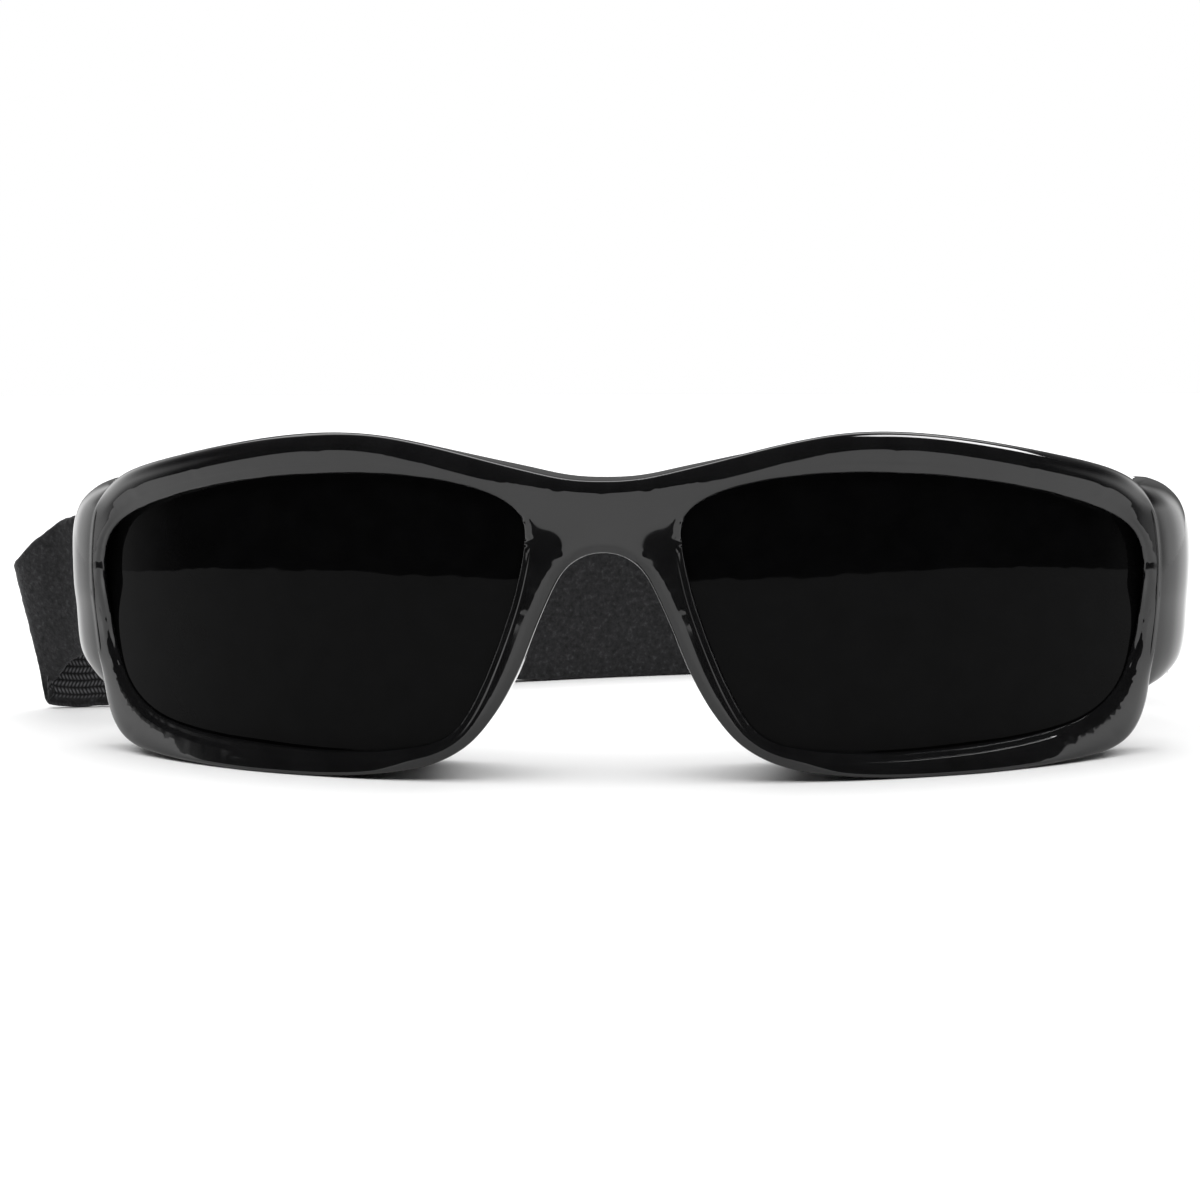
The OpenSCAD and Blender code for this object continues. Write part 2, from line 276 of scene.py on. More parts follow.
def noise(tree, scale, detail=3, x=-700, y=0, rough=0.5):
    """Noise on the object's own coordinates, in cycles per metre."""
    place = add_node(tree, "ShaderNodeTexCoord", x - 200, y)
    node = add_node(tree, "ShaderNodeTexNoise", x, y, Scale=scale, Detail=detail, Roughness=rough)
    tree.links.new(place.outputs["Object"], node.inputs["Vector"])
    return node.outputs["Fac"]


def bump(tree, height, bsdf, strength, distance, x=-250, y=-300, under=None):
    """Relief on the shader, over the relief under if there is one."""
    node = add_node(tree, "ShaderNodeBump", x, y, Strength=strength, Distance=distance)
    tree.links.new(height, node.inputs["Height"])
    if under is not None:
        tree.links.new(under, node.inputs["Normal"])
    tree.links.new(node.outputs["Normal"], bsdf.inputs["Normal"])
    return node.outputs["Normal"]


def grey(value, tint=0.03):
    """A slightly cool grey."""
    return (value * (1 - tint / 2), value * (1 - tint / 2), value * (1 + tint))


def polished_plastic(name, base, low, high, **sockets):
    """Injection-moulded gloss: faint moulding ripple, and roughness from low to high."""
    mat, tree, bsdf = shader(name, grey(base), low, **sockets)
    haze = ramp(tree, noise(tree, 90, 4, y=200), [(0.35, (low,) * 3), (0.75, (high,) * 3)], -450, 200)
    tree.links.new(haze, bsdf.inputs["Roughness"])
    tone = ramp(tree, noise(tree, 260, 2, y=450), [(0.3, grey(base * 0.8)), (0.7, grey(base * 1.2))],
                -450, 450)
    tree.links.new(tone, bsdf.inputs["Base Color"])
    bump(tree, noise(tree, 140, 2, y=-300), bsdf, 0.25, 0.00003)
    return mat


def satin_plastic(name, base, roughness, grain=2600):
    """Fine-textured moulding, with grain in cycles per metre."""
    mat, tree, bsdf = shader(name, grey(base), roughness)
    tone = ramp(tree, noise(tree, 300, 4, y=300), [(0.3, grey(base * 0.7)), (0.7, grey(base * 1.35))],
                -450, 300)
    tree.links.new(tone, bsdf.inputs["Base Color"])
    bump(tree, noise(tree, grain, 2, y=-300), bsdf, 0.4, 0.00006)
    return mat


def foam_material():
    """Closed-cell foam: small cells over gentle unevenness, with painted shade in the cells' hollows."""
    base = 0.032
    mat, tree, bsdf = shader("foam_skin", grey(base), 0.9, Sheen_Weight=0.35, Sheen_Roughness=0.5)
    bsdf.inputs["Sheen Tint"].default_value = (0.5, 0.5, 0.52, 1)
    place = add_node(tree, "ShaderNodeTexCoord", -1100, 0)
    cells = add_node(tree, "ShaderNodeTexVoronoi", -900, 0, Scale=1500.0)
    tree.links.new(place.outputs["Object"], cells.inputs["Vector"])
    # Painted shade: each cell is coloured darkest at the bottom of its hollow and lighter towards its
    # walls, following the bump
    tone = ramp(tree, cells.outputs["Distance"], [(0.05, grey(base * 0.35)), (0.6, grey(base * 1.5))],
                -450, 300)
    tree.links.new(tone, bsdf.inputs["Base Color"])
    under = bump(tree, cells.outputs["Distance"], bsdf, 0.7, 0.00018)
    bump(tree, noise(tree, 240, 3, y=-600), bsdf, 0.3, 0.0004, x=-50, under=under)
    return mat


def metal(name, color, roughness, grain):
    """Turned metal with streaky roughness."""
    mat, tree, bsdf = shader(name, color, roughness, Metallic=1.0)
    streak = ramp(tree, noise(tree, grain, 4, y=200),
                  [(0.3, (roughness * 0.7,) * 3), (0.7, (roughness * 1.5,) * 3)], -450, 200)
    tree.links.new(streak, bsdf.inputs["Roughness"])
    bump(tree, noise(tree, grain * 2, 2, y=-300), bsdf, 0.3, 0.00004)
    return mat


def elastic_material():
    """Plush outside, braided ribs inside, with painted shade in the ribs' grooves and painted highlight on
    their crests; the attributes are millimetres on the strap.
    """
    mat, tree, bsdf = shader("elastic_knit", grey(0.03), 0.92, Sheen_Weight=0.25, Sheen_Roughness=0.45)
    bsdf.inputs["Sheen Tint"].default_value = (0.55, 0.55, 0.57, 1)
    bsdf.inputs["Specular IOR Level"].default_value = 0.15
    link = tree.links.new

    def attribute(name, y):
        return add_node(tree, "ShaderNodeAttribute", -1500, y, attribute_name=name).outputs["Fac"]

    def math_node(kind, a, b, x, y):
        node = add_node(tree, "ShaderNodeMath", x, y, operation=kind)
        for socket, value in zip(node.inputs, (a, b)):
            if isinstance(value, (int, float)):
                socket.default_value = value
            else:
                link(value, socket)
        return node.outputs[0]

    along, across, ribbed = attribute("along_mm", 300), attribute("across_mm", 0), attribute("ribbed", -300)
    # Herringbone: neighbouring ribs slant opposite ways
    rib = math_node("DIVIDE", across, RIB_PITCH, -1300, 0)
    side = math_node("PINGPONG", rib, 1.0, -1150, 0)
    slant = math_node("MULTIPLY", side, 0.9, -1000, 0)
    turn = math_node("ADD", math_node("MULTIPLY", along, 2.0, -1150, 300), slant, -850, 200)
    yarn = math_node("PINGPONG", turn, 0.5, -700, 200)
    crest = math_node("ABSOLUTE", math_node("SINE", math_node("MULTIPLY", rib, math.pi, -1150, -200),
                                            0, -1000, -200), 0, -850, -200)
    braid = math_node("MULTIPLY", math_node("MULTIPLY", yarn, 2.0, -550, 200), crest, -400, 100)
    # The braid's colour follows its relief: the herringbone weave pattern, with painted shade in the
    # grooves between ribs and yarns and painted highlight on their crests
    weave_and_painted_crest_light = ramp(tree, braid, [(0.1, grey(0.012)), (0.55, grey(0.075)), (0.95, grey(0.16))], -250, 300)
    pile = noise(tree, 1500, 4, x=-700, y=700, rough=0.7)
    pile_tone = ramp(tree, pile, [(0.33, grey(0.011)), (0.56, grey(0.024)), (0.78, grey(0.06))], -450, 700)
    mix = add_node(tree, "ShaderNodeMix", -60, 400, data_type="RGBA")
    link(ribbed, mix.inputs[0])
    link(pile_tone, mix.inputs[6])
    link(weave_and_painted_crest_light, mix.inputs[7])
    link(mix.outputs[2], bsdf.inputs["Base Color"])
    relief = add_node(tree, "ShaderNodeMix", -60, -100, data_type="FLOAT")
    link(ribbed, relief.inputs[0])
    link(pile, relief.inputs[2])
    link(braid, relief.inputs[3])
    bump(tree, relief.outputs[0], bsdf, 0.8, 0.00025, x=100)
    return mat


def thread_material():
    """Twisted sewing thread, with painted shade in the twist's grooves and painted highlight on its ridges.
    """
    mat, tree, bsdf = shader("thread_twist", grey(0.06), 0.7, Sheen_Weight=0.3)
    place = add_node(tree, "ShaderNodeTexCoord", -1100, 0)
    twist = add_node(tree, "ShaderNodeTexWave", -700, 0, Scale=900.0, bands_direction="DIAGONAL")
    tree.links.new(place.outputs["Object"], twist.inputs["Vector"])
    # Painted shade and highlight: the twist's grooves are coloured dark and its ridges light, following the
    # bump
    tone = ramp(tree, twist.outputs["Fac"], [(0.2, grey(0.025)), (0.8, grey(0.1))], -450, 200)
    tree.links.new(tone, bsdf.inputs["Base Color"])
    bump(tree, twist.outputs["Fac"], bsdf, 0.6, 0.0001)
    return mat


RIB_PITCH = 1.02   # width of one braided rib of the elastic
gloss = polished_plastic("frame_polished", 0.006, 0.04, 0.08, IOR=1.5)
lens_glass = polished_plastic("lens_polished", 0.002, 0.01, 0.02, IOR=1.55, Specular_IOR_Level=0.035)
carrier_mat = satin_plastic("carrier_satin", 0.03, 0.42)
glide_mat = satin_plastic("glide_satin", 0.022, 0.34)
foam_mat = foam_material()
brass = metal("insert_brass", (0.62, 0.43, 0.17), 0.28, 500)
screw_metal = metal("screw_blackened", (0.16, 0.16, 0.17), 0.35, 700)
elastic = elastic_material()
thread = thread_material()

# ---------------------------------------------------------------- frame front
WRAP_R = 100.0      # radius of the front's wrap round the face
FRAME_T = 8.0
LENS_DEPTH = 2.0    # how far the lens lies behind the wrap's front face
LENS_T = 2.0
BACK_ROUND = 0.7
LENS_GAP = 0.12     # clearance before and behind the lens in its groove
GROOVE = 1.2        # depth of the lens groove
WALL_DEPTH = 6.0    # where the wall of an opening meets the back's round
# Front view, (x, z): the right half of the outline, and the right lens opening
HALF_OUTLINE = [(0, 29.9), (2.8, 29.3), (5.5, 27), (8.4, 21), (11.1, 14.4), (14.4, 8.6),
                (18.6, 4.2), (25, 1.5), (36, 0.2), (50, 0), (62, 0.6), (67.2, 1.9),
                (69.8, 5.4), (71.1, 12), (72, 20), (72, 28), (70.6, 34), (66, 38.2),
                (55, 41.7), (43, 44.2), (33, 44.9), (24, 43.8), (12, 41), (5, 39.5), (0, 39.2)]
OPENING = [(10.1, 33.4), (12.8, 36.6), (18.5, 38.6), (26, 39.6), (34, 39.7), (44.5, 38.8),
           (55.3, 36.6), (64, 33.4), (68.3, 30.2), (69.7, 26), (69.4, 21), (68.4, 15.2),
           (66.4, 9.7), (62.2, 6), (55, 4.2), (45, 3.4), (35, 3.2), (26, 4.1), (20.3, 6),
           (16.8, 10.7), (13.3, 18.9), (11, 26.4)]
EDGE_SPACING = 0.45
FIELD_SPACING = 0.5


def mirror(points):
    """The points of a right half as the left half, in reverse order."""
    return [(-x, z) for x, z in reversed(points)]


# The outline runs anticlockwise and the right opening clockwise, so the left of the
# outline and the left of an opening both point into the frame's own material.
outline = fair(resample(catmull(HALF_OUTLINE + mirror(HALF_OUTLINE)[1:-1], 12, True),
                        EDGE_SPACING, True), 6)
opening_right = fair(resample(catmull(OPENING, 12, True), EDGE_SPACING, True), 6)
opening_left = opening_right[::-1] * (-1, 1)


def wrap_y(x, depth):
    """Y of the point x across, depth behind the wrap's front face."""
    r = WRAP_R - depth
    return WRAP_R - np.sqrt(r * r - x * x)


def on_wrap(plane, depth):
    """Front-view points laid on the wrap, depth behind its front face."""
    return np.stack([plane[:, 0], wrap_y(plane[:, 0], depth), plane[:, 1]], 1)


BROW_START = 16     # the brow's points begin here in HALF_OUTLINE
brow_line = catmull([(72, 24), (72, 28)] + HALF_OUTLINE[BROW_START:], 10, False)
brow_line = np.vstack([brow_line, brow_line[::-1][1:] * (-1, 1)])
# Radius of the outer edge's roll along the brow, the bridge, the sides and the bottom
BROW_ROLL = 2.15
BRIDGE_ROLL = 1.45
SIDE_ROLL = 1.3
LOW_ROLL = 0.6
ARCH_CHAMFER = 1.35
CHAMFER_SLOPE = 0.72
CHAMFER_FOOT = 0.24     # share of the chamfer's width taken by the round at its foot
CHAMFER_EDGE = 0.16     # the same for the small round at its outer edge
# The band under the brow
BAND_SLOPE = 0.26
BAND_HEIGHT = 3.4
BAND_END = 2.35         # where it ends in the legs
BAND_EASE = 0.8
BAND_STOP_ROUND = 0.25
# Below this height the legs and the lower rim come forward again
RISE_TOP = 33.5
RISE_EASE = 3.0
RISE_SLOPE = 0.035
RISE_GROWTH = 0.0006
RIM_LEAN = 0.5
# The stepped inner edge
LIP_ROUND = 0.42
LIP_WIDTH = 0.8
STEP_ROUND = 0.62
RIM_WIDTH = 7.5         # narrower stretches of the front are rims, meshed in straight rows
INNER_WIDTH = 1.42
TOP_DRAFT = 0.5


def arch_share(curve):
    """1 along the nose arch, 0 elsewhere on the outline."""
    x, z = np.abs(curve[:, 0]), curve[:, 1]
    return fair((1 - smooth_step(x, 23, 32)) * (1 - smooth_step(z, 31, 33)), 8)


def edge_roll(curve):
    """Radius of the outer edge's roll at each point of the outline."""
    x, z = np.abs(curve[:, 0]), curve[:, 1]
    brow = smooth_step(z, 31, 36) * smooth_step(z - (29.9 + 4.5 * (x < 9)), 0, 2)
    top = BRIDGE_ROLL + (BROW_ROLL - BRIDGE_ROLL) * smooth_step(x, 3, 20)
    side = smooth_step(x, 62, 69) * (1 - brow)
    arch = arch_share(curve)
    roll = LOW_ROLL + (top - LOW_ROLL) * brow + (SIDE_ROLL - LOW_ROLL) * side
    return fair(roll + (ARCH_CHAMFER - LOW_ROLL) * arch, 30)


# Distances from the edge of an opening at which the face gets a row of points
INNER_STEPS = [0.015, 0.04, 0.08, 0.13, 0.19, 0.26, 0.34, 0.42, 0.6, 0.77, 0.83, 0.9, 0.97, 1.04, 1.12,
               1.21, 1.31, INNER_WIDTH]
# Places across the outer roll, as shares of its radius, and two more just past it
ROLL_STEPS = [0.03, 0.08, 0.16, 0.27, 0.42, 0.6, 0.8, 1.0]
PAST_ROLL = [1.25, 1.6]


def quarter(t):
    """Depth of a quarter-round edge at the fraction t of its radius in from the edge."""
    return 1 - np.sqrt(np.clip(1 - (1 - np.clip(t, 0, 1)) ** 2, 0, 1))


def chamfer(t):
    """Depth of a chamfered edge with a small round at its foot and at its outer edge."""
    s = np.clip(1 - t, 0, 1)
    slope = np.where(s < CHAMFER_FOOT, s * s / (2 * CHAMFER_FOOT), s - CHAMFER_FOOT / 2)
    return CHAMFER_SLOPE * slope + 0.2 * quarter(t / CHAMFER_EDGE)


def cheek_share(curve):
    """1 where the outline runs into a cheek, so that it has no roll there."""
    x, z = np.abs(curve[:, 0]), curve[:, 1]
    share = smooth_step(x, 66, 69) * smooth_step(z, 9.5, 13.5) * (1 - smooth_step(z, 32.5, 36))
    return fair(share, 8)


outline_roll = edge_roll(outline)
outline_arch = arch_share(outline)
outline_cheek = cheek_share(outline)
outline_normals = left_normals(outline)


def front_depth(p, d_out, i_out, d_in):
    """How far the frame's face lies behind the wrap surface at front-view points p."""
    x, z = np.abs(p[:, 0]), p[:, 1]
    roll, arch = at_place(outline_roll, i_out), at_place(outline_arch, i_out)
    t = d_out / roll
    depth = roll * (quarter(t) * (1 - arch) + chamfer(t) * arch) * (1 - at_place(outline_cheek, i_out))
    # The band under the brow faces slightly down, and ends early in the middle of each leg
    d_brow, _ = nearest(p, brow_line, closed=False)
    band = np.clip(d_brow - BROW_ROLL, 0, None)
    band = np.where(band < BAND_EASE, band * band / (2 * BAND_EASE), band - BAND_EASE / 2)
    middle = smooth_step(d_out, 0.7, 2.0)
    stop = BAND_END + 1.3 * (1 - middle)
    cut = band - BAND_STOP_ROUND * np.log1p(np.exp((band - stop) / BAND_STOP_ROUND))
    leg = smooth_step(x, 2.6, 5.2) * (1 - smooth_step(x, 48, 68))
    band = band + leg * (cut - band)
    depth += BAND_SLOPE * BAND_HEIGHT * np.tanh(band / BAND_HEIGHT)
    # Below it the legs and the lower rim come forward again, so they face slightly up
    drop = np.clip(RISE_TOP - z, 0, None)
    drop = np.where(drop < RISE_EASE, drop * drop / (2 * RISE_EASE), drop - RISE_EASE / 2)
    rise = drop * (RISE_SLOPE + RISE_GROWTH * drop)
    depth -= rise * (1 - smooth_step(x, 46, 70))
    # Inner edge: a small round all the way round
    upper = smooth_step(z, 27, 35)
    depth += LIP_ROUND * quarter(d_in / LIP_ROUND)
    # Below and beside the lens the edge is stepped, with a narrow shelf between its rounds
    reach = np.clip(1 - (d_in - LIP_WIDTH) / STEP_ROUND, 0, 1)
    depth += (1 - upper) * STEP_ROUND * (1 - np.sqrt(1 - (0.9 * reach) ** 2))
    # The face of the lower rim leans back towards the lens
    below = 1 - smooth_step(z, 8, 24)
    return depth + RIM_LEAN * (1 - smooth_step(d_in, 0, 3.0)) * below


MOST_POINTS = 60000


def frame_field():
    """The planar points of the frame's face and their triangles."""
    holes = [opening_right, opening_left]
    arcs = np.array(ROLL_STEPS)
    points = [outline, *holes]
    placed = KDTree(MOST_POINTS)
    count = 0

    def place(candidates, clear):
        """Adds the candidates that stand clear of every earlier point."""
        nonlocal count
        kept = []
        for c in candidates:
            spot = (c[0], c[1], 0)
            if count == 0 or placed.find(spot)[2] > clear:
                kept.append(c)
        for c in kept:
            placed.insert((c[0], c[1], 0), count)
            count += 1
        placed.balance()
        if kept:
            points.append(np.array(kept))

    # Across the rims, rows run straight from the outline to the opening
    d_hole = [nearest(outline, h) for h in holes]
    rows = []
    for i, p in enumerate(outline):
        k = 0 if d_hole[0][0][i] < d_hole[1][0][i] else 1
        width = d_hole[k][0][i]
        roll = outline_roll[i]
        if width < RIM_WIDTH:
            q = at_place(holes[k], d_hole[k][1][i:i + 1])[0]
            spare = max(width - roll - INNER_WIDTH, 0)
            inner = np.linspace(0, 1, max(2, int(round(spare / FIELD_SPACING)) + 1))[1:-1]
            outer = [*(roll * arcs), *(roll + spare * inner)]
            steps = [step for step in outer if step < width - INNER_WIDTH - 0.05]
            steps += [width - step for step in INNER_STEPS if step < width - 0.05]
            rows += [p + (q - p) * step / width for step in steps]
        else:
            normal = outline_normals[i]
            rows += [p + normal * roll * f for f in [*arcs, *PAST_ROLL]]
    place(rows, 0.0)
    for hole in holes:
        normals = left_normals(hole)
        width, _ = nearest(hole, outline)
        rings = [q + n * step for step in [*INNER_STEPS, 1.8]
                 for q, n, w in zip(hole, normals, width) if w > RIM_WIDTH - 1]
        place(rings, 0.12)
    xs = np.arange(-73, 73, FIELD_SPACING)
    zs = np.arange(0, 46, FIELD_SPACING * 0.866)
    grid = np.array([(x + (k % 2) * FIELD_SPACING / 2, z) for k, z in enumerate(zs) for x in xs])
    keep = inside(grid, outline) & (nearest(grid, outline)[0] > 0.5)
    for hole in holes:
        keep &= ~inside(grid, hole) & (nearest(grid, hole)[0] > 0.5)
    place(grid[keep], FIELD_SPACING * 0.8)
    everything = np.vstack(points)
    sizes = [len(outline), len(holes[0]), len(holes[1])]
    edges, start = [], 0
    for n in sizes:
        edges += [(start + i, start + (i + 1) % n) for i in range(n)]
        start += n
    verts, _, faces, origin, _, _ = delaunay_2d_cdt(
        [Vector(p) for p in everything], edges, [], 0, 1e-5)
    verts = np.array([tuple(v) for v in verts])
    faces = np.array(faces)
    centre = verts[faces].mean(1)
    keep = inside(centre, outline)
    for hole in holes:
        keep &= ~inside(centre, hole)
    where = {}
    for new, olds in enumerate(origin):
        for old in olds:
            where[old] = new
    loops, start = [], 0
    for n in sizes:
        loops.append([where[start + i] for i in range(n)])
        start += n
    return verts, faces[keep], loops


def smoothed(values, tris, free, rounds):
    """Averages values over the triangles' edges where free is near 1."""
    pairs = np.unique(np.sort(np.vstack([tris[:, [0, 1]], tris[:, [1, 2]], tris[:, [2, 0]]]), 1), axis=0)
    count = np.bincount(pairs.ravel(), minlength=len(values))
    for _ in range(rounds):
        total = np.bincount(pairs[:, 0], values[pairs[:, 1]], len(values))
        total += np.bincount(pairs[:, 1], values[pairs[:, 0]], len(values))
        values = values + 0.6 * free * (total / np.maximum(count, 1) - values)
    return values


def frame_shell():
    """The moulded front: face, back, outer wall and grooved lens openings."""
    plane, tris, loops = frame_field()
    d_out, i_out = nearest(plane, outline)
    d_in = np.minimum(nearest(plane, opening_right)[0], nearest(plane, opening_left)[0])
    depth = front_depth(plane, d_out, i_out, d_in)
    free = (smooth_step(d_out / at_place(outline_roll, i_out), 0.9, 1.7)
            * smooth_step(d_in, 1.2, 2.0))
    # The narrow rims at the outer sides are evened out over almost their whole width
    narrow = smooth_step(np.abs(plane[:, 0]), 57, 63) * (1 - smooth_step(plane[:, 1], 26, 31))
    free = np.maximum(free, narrow * smooth_step(d_out, 0.15, 0.7) * smooth_step(d_in, 0.2, 0.8))
    depth = smoothed(depth, tris, free, 36)
    behind = FRAME_T - BACK_ROUND * (quarter(d_out / BACK_ROUND) + quarter(d_in / BACK_ROUND))
    shell = Shell()
    front = shell.add(on_wrap(plane, depth))
    # The brow's top slopes down towards the back
    near = 1 - smooth_step(d_out, 0, 4)
    slope = TOP_DRAFT * smooth_step(plane[:, 1], 34, 38) * near * smooth_step(np.abs(plane[:, 0]), 8, 24)
    draft = np.stack([np.zeros(len(plane)), -slope], 1)
    back = shell.add(on_wrap(plane + draft, behind))
    shell.faces += [tuple(front[i] for i in t) for t in tris]
    shell.faces += [tuple(back[i] for i in reversed(t)) for t in tris]
    # Outer wall
    rim = loops[0]
    wall = [front[i] for i in rim]
    for f in (0.25, 0.5, 0.75):
        row = depth[rim] * (1 - f) + behind[rim] * f
        ring = shell.add(on_wrap(plane[rim] + draft[rim] * f, row))
        shell.bridge(wall, ring)
        wall = ring
    shell.bridge(wall, [back[i] for i in rim])
    # Walls of the openings, with the groove that holds the lens
    near_wall = LENS_DEPTH - LENS_GAP
    far_wall = LENS_DEPTH + LENS_T + LENS_GAP
    for loop in loops[1:]:
        ring = [front[i] for i in loop]
        edge = plane[loop]
        deep = edge + left_normals(edge) * GROOVE
        steps = [(edge, near_wall), (deep, near_wall), (deep, far_wall), (edge, far_wall),
                 (edge, WALL_DEPTH)]
        for curve, at in steps:
            following = shell.add(on_wrap(curve, at))
            shell.bridge(ring, following)
            ring = following
        shell.bridge(ring, [back[i] for i in loop])
    return shell, on_wrap(plane[rim], depth[rim])


HINGE = (72.4, 47.0)    # X and Y of the right hinge's axis
KNUCKLE_R = 2.8
KNUCKLES = [(12.6, 17.25), (24.75, 29.4)]   # bottom and top of the frame's two knuckles
# (height, how far the outside stands out in X) up the outside of the temple
CHEEK_FACE = [(8.8, 71.8), (9.6, 73.5), (11.6, 75.1), (14.6, 75.8), (19, 76.1), (25, 76.4),
              (29.6, 76.1), (32.8, 75.0), (34.8, 73.1), (36.0, 70.6)]
END_SECTIONS = 5
END_SCALE = 0.84


def cheek(shell, side, edge):
    """The temple that carries the rim on, back to the hinge, as plan sections up its height."""
    face = catmull(CHEEK_FACE, 6, False)
    half = edge[edge[:, 0] > 60]
    half = half[np.argsort(half[:, 2])]
    rings = []
    for k, (z, x_out) in enumerate(face):
        x0 = np.interp(z, half[:, 2], half[:, 0])
        y0 = np.interp(z, half[:, 2], half[:, 1])
        grow = x_out - x0
        plan = [(x0 - 0.7, y0 - 0.45), (x0, y0 + 0.02)]
        plan += [(x0 + share * grow, y0 + back) for share, back in
                 ((0.3, 1.5), (0.6, 3.6), (0.84, 6.5), (0.96, 9.6), (1.0, 12.4))]
        plan += [(x_out - 0.3, 43.6), (x_out - 1.4, 44.4), (min(71.3, x_out - 2), 44.4), (69.6, 44.0),
                 (69.0, 42.6), (68.3, 39.5), (67.4, 36.6), (66.6, 34), (x0 - 2.2, y0 + 2.2)]
        ring = catmull(plan, 4, True)
        # Rounded top and bottom: the first and last sections are smaller
        step = min(k, len(face) - 1 - k)
        keep = math.sqrt(1 - max(0.0, 1 - (step + 0.5) / END_SECTIONS) ** 2)
        middle = np.array([x0 - 0.5, y0 + 6])
        ring = middle + (ring - middle) * (END_SCALE + (1 - END_SCALE) * keep)
        rings.append([(side * x, y, z) for x, y in ring])
    shell.loft(rings)


def rounded_column(shell, profile, z0, z1, edge=0.35):
    """An upright prism with rounded upper and lower edges."""
    profile = np.asarray(profile, float)
    centre = profile.mean(0)
    reach = np.linalg.norm(profile - centre, axis=1).max()
    rings = []
    for up, sign in ((z0, 1), (z1, -1)):
        rows = []
        for a in (0, 30, 60, 90):
            a = math.radians(a)
            scale = 1 - edge * (1 - math.sin(a)) / reach
            z = up + sign * edge * (1 - math.cos(a))
            rows.append([(*(centre + (p - centre) * scale), z) for p in profile])
        rings += rows if sign > 0 else rows[::-1]
    shell.loft(rings)


def knuckle_profile(side):
    """Plan of a knuckle: a round eye on a block that runs into the cheek."""
    r = KNUCKLE_R
    arc = [(HINGE[0] + r * math.cos(a), HINGE[1] + r * math.sin(a))
           for a in np.radians(np.linspace(0, 180, 25))]
    block = [(HINGE[0] - r, 45), (HINGE[0] - r, 43.7), (HINGE[0] + r, 43.7), (HINGE[0] + r, 45)]
    return [(side * x, y) for x, y in arc + block]


def build_frame():
    """The moulded front with its cheeks and hinge knuckles, as one piece."""
    shell, edge = frame_shell()
    for side in (-1, 1):
        cheek(shell, side, edge)
        for z0, z1 in KNUCKLES:
            rounded_column(shell, knuckle_profile(side), z0, z1)
    obj = make_object("frame_moulding", shell.verts, shell.faces, gloss, sharp=50)
    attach(obj, "root")
    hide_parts("frame_front")


build_frame()


# ---------------------------------------------------------------- lenses
LENS_REACH = 1.05   # how far the lens reaches into its groove
LENS_RINGS = 26


def build_lens(name, node, curve):
    """A lens curved like the wrap, meshed in rings round its centre."""
    centre = curve.mean(0)
    edge = curve + left_normals(curve) * LENS_REACH
    edge = edge[::2]
    shell = Shell()
    patches = []
    for depth in (LENS_DEPTH, LENS_DEPTH + LENS_T):
        hub = shell.add(on_wrap(centre[None], depth))[0]
        ids = [shell.add(on_wrap(centre + (edge - centre) * (k + 1) / LENS_RINGS, depth))
               for k in range(LENS_RINGS)]
        n = len(edge)
        shell.faces += [(hub, ids[0][i], ids[0][(i + 1) % n]) for i in range(n)]
        for a, b in zip(ids, ids[1:]):
            shell.bridge(a, b)
        patches.append(ids[-1])
    shell.bridge(*patches)
    obj = make_object(name, shell.verts, shell.faces, lens_glass, sharp=40)
    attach(obj, "root")
    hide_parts(node)


build_lens("lens_plate_right", "lens_right", opening_right)
build_lens("lens_plate_left", "lens_left", opening_left)


# ---------------------------------------------------------------- face seals
CARRIER_FRONT = 91.85   # radius of the carrier's front face
NOSE_PULL = 0.17        # how far the ring slopes off behind the rim beside the nose
SEAL_SWELL = 0.07


def radial(plane, r):
    """Front-view points taken in to radius r along the wrap's radius."""
    a = np.arcsin(plane[:, 0] / WRAP_R)
    return np.stack([r * np.sin(a), WRAP_R - r * np.cos(a), plane[:, 1]], 1)


def ring_body(curve, corners, wobble=None):
    """A closed ring behind a lens; corners are (offset from the opening, radius)."""
    normals = left_normals(fair(curve, 12))
    away = 0.1 + 0.9 * smooth_step(np.abs(curve[:, 0]), 17, 30)
    rings = []
    for k, (off, r) in enumerate(corners):
        # Beside the nose the ring keeps behind the rim
        out = off * away if off > 0 else np.full(len(curve), off)
        out = out - (1 - away) * NOSE_PULL * (CARRIER_FRONT - r)
        if wobble is not None:
            out = out + wobble[k]
        rings.append(radial(curve + normals * out[:, None], r))
    shell = Shell()
    ids = [shell.add(r) for r in rings]
    for a, b in zip(ids, ids[1:] + ids[:1]):
        shell.bridge(a, b)
    return shell


def rounded_corners(corners, r, steps=3):
    """Replaces each corner of a closed section by a small arc."""
    c = np.asarray(corners, float)
    out = []
    for i in range(len(c)):
        a, b, d = c[i - 1], c[i], c[(i + 1) % len(c)]
        u, v = (a - b), (d - b)
        u, v = u / np.linalg.norm(u), v / np.linalg.norm(v)
        for k in range(steps + 1):
            t = k / steps
            out.append(b + (1 - t) ** 2 * r * u + t ** 2 * r * v)
    return out


# Sections across the ring: (offset outwards from the opening, radius on the wrap)
CARRIER_SECTION = [(-2.6, 95.6), (-1.4, 95.6), (-1.4, CARRIER_FRONT), (2.2, CARRIER_FRONT),
                   (2.2, 89.65), (-2.6, 89.65)]
# The foam is flat on the carrier, full in the middle and soft at the face
FOAM_SECTION = [(-3.2, 89.6), (-0.8, 89.6), (1.7, 89.6), (2.3, 87.6), (2.45, 85.2), (2.0, 82.6),
                (0.7, 80.8), (-0.9, 80.55), (-2.5, 81.1), (-3.7, 83.4), (-4.05, 86), (-3.8, 88.2)]


